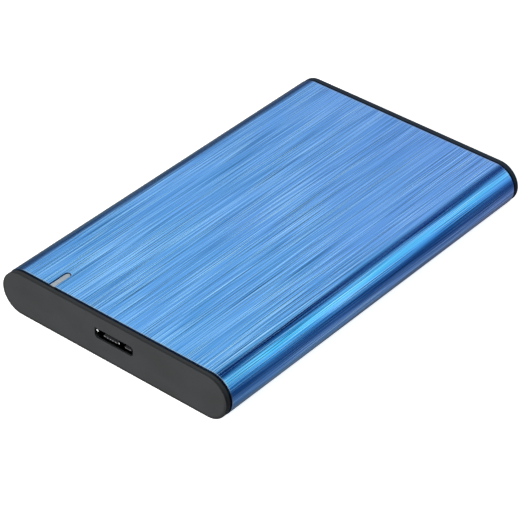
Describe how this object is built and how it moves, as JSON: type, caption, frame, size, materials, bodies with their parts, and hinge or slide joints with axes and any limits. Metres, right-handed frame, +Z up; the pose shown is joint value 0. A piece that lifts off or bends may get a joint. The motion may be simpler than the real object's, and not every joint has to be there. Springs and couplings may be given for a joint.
{
  "type": "external hard drive",
  "caption": "Slim external drive: brushed aluminium sleeve with plastic end caps, a micro-B data port, a status light bar, and a bridge board and hard disk that slide out together.",
  "frame": {"origin": "centre of the flat underside, in the plane it rests on", "axes": "+Y from the front cap with the data port to the rear cap, +Z up from the underside to the top, +X to the right seen from the front"},
  "size_m": [0.0782, 0.125, 0.0133],
  "materials": {
    "blue_aluminium": "fine brushed grain along the length, blue anodised, satin",
    "black_plastic": "fine moulded texture, matte",
    "frosted_light_guide": "frosted, slightly translucent",
    "port_steel": "bright plated sheet",
    "connector_black": "smooth moulded",
    "board_green": "solder mask over glass fibre",
    "chip_black": "moulded package, matte",
    "crystal_can": "plated can",
    "ferrite": "pressed ferrite, matte",
    "capacitor_ceramic": "matte ceramic",
    "lamp_resin": "clear resin over phosphor",
    "foam": "soft foam",
    "gasket_rubber": "matte",
    "cast_aluminium": "die cast, matte, some faces milled",
    "cover_steel": "plated sheet, satin",
    "machined_aluminium": "turned and milled, satin",
    "platter_coating": "polished magnetic coating",
    "sheet_steel": "thin stainless sheet",
    "copper_winding": "enamelled copper wire",
    "magnet_plating": "nickel plated",
    "yoke_steel": "nickel plated steel plate",
    "ramp_plastic": "low friction moulding",
    "screw_steel": "zinc plated"
  },
  "bodies": {
    "sleeve": {"outer_sleeve": "blue_aluminium", "rear_cap": "black_plastic"},
    "carriage": {"front_cap": "black_plastic", "status_light_pipe": "frosted_light_guide", "bridge_board": "board_green", "board_screw_1": "screw_steel", "board_screw_2": "screw_steel", "port_shell": "port_steel", "port_insulator": "connector_black", "drive_receptacle": "connector_black", "bridge_controller_chip": "chip_black", "firmware_memory_chip": "chip_black", "clock_crystal": "crystal_can", "power_inductor": "ferrite", "voltage_regulator": "chip_black", "input_capacitor": "capacitor_ceramic", "output_capacitor": "capacitor_ceramic", "status_led": "lamp_resin"},
    "drive": {"drive_base": "cast_aluminium", "drive_cover": "cover_steel", "cover_gasket": "gasket_rubber", "cover_screw_1": "screw_steel", "cover_screw_2": "screw_steel", "cover_screw_3": "screw_steel", "cover_screw_4": "screw_steel", "cover_screw_5": "screw_steel", "cover_screw_6": "screw_steel", "drive_circuit_board": "board_green", "circuit_screw_1": "screw_steel", "circuit_screw_2": "screw_steel", "circuit_screw_3": "screw_steel", "circuit_screw_4": "screw_steel", "drive_processor_chip": "chip_black", "drive_cache_chip": "chip_black", "motor_driver_chip": "chip_black", "drive_plug": "connector_black", "drive_pad": "foam", "spindle_bearing": "machined_aluminium", "motor_stator": "copper_winding", "lower_yoke_plate": "yoke_steel", "lower_magnet": "magnet_plating", "upper_magnet": "magnet_plating", "upper_yoke_plate": "yoke_steel", "pivot_shaft": "yoke_steel", "parking_ramp": "ramp_plastic"},
    "spindle": {"spindle_hub": "machined_aluminium", "lower_platter": "platter_coating", "platter_spacer": "machined_aluminium", "upper_platter": "platter_coating", "platter_clamp": "sheet_steel", "clamp_screw": "screw_steel"},
    "head_stack": {"actuator_arm": "machined_aluminium", "pivot_bearing": "yoke_steel", "voice_coil": "copper_winding", "head_suspension_1": "sheet_steel", "head_suspension_2": "sheet_steel", "head_suspension_3": "sheet_steel", "head_suspension_4": "sheet_steel"}
  },
  "joints": [
    {"name": "carriage_slide", "type": "slide", "parent": "sleeve", "child": "carriage", "axis": [0, -1, 0], "range_m": [0, 0.125]},
    {"name": "drive_slide", "type": "slide", "parent": "carriage", "child": "drive", "axis": [0, 1, 0], "range_m": [0, 0.0055]},
    {"name": "spindle_turn", "type": "hinge", "parent": "drive", "child": "spindle", "pos_m": [0, 0.01805, 0.0066], "axis": [0, 0, 1], "continuous": true},
    {"name": "head_swing", "type": "hinge", "parent": "drive", "child": "head_stack", "pos_m": [0.016, -0.02345, 0.0066], "axis": [0, 0, 1], "range_deg": [-31, 0]}
  ]
}
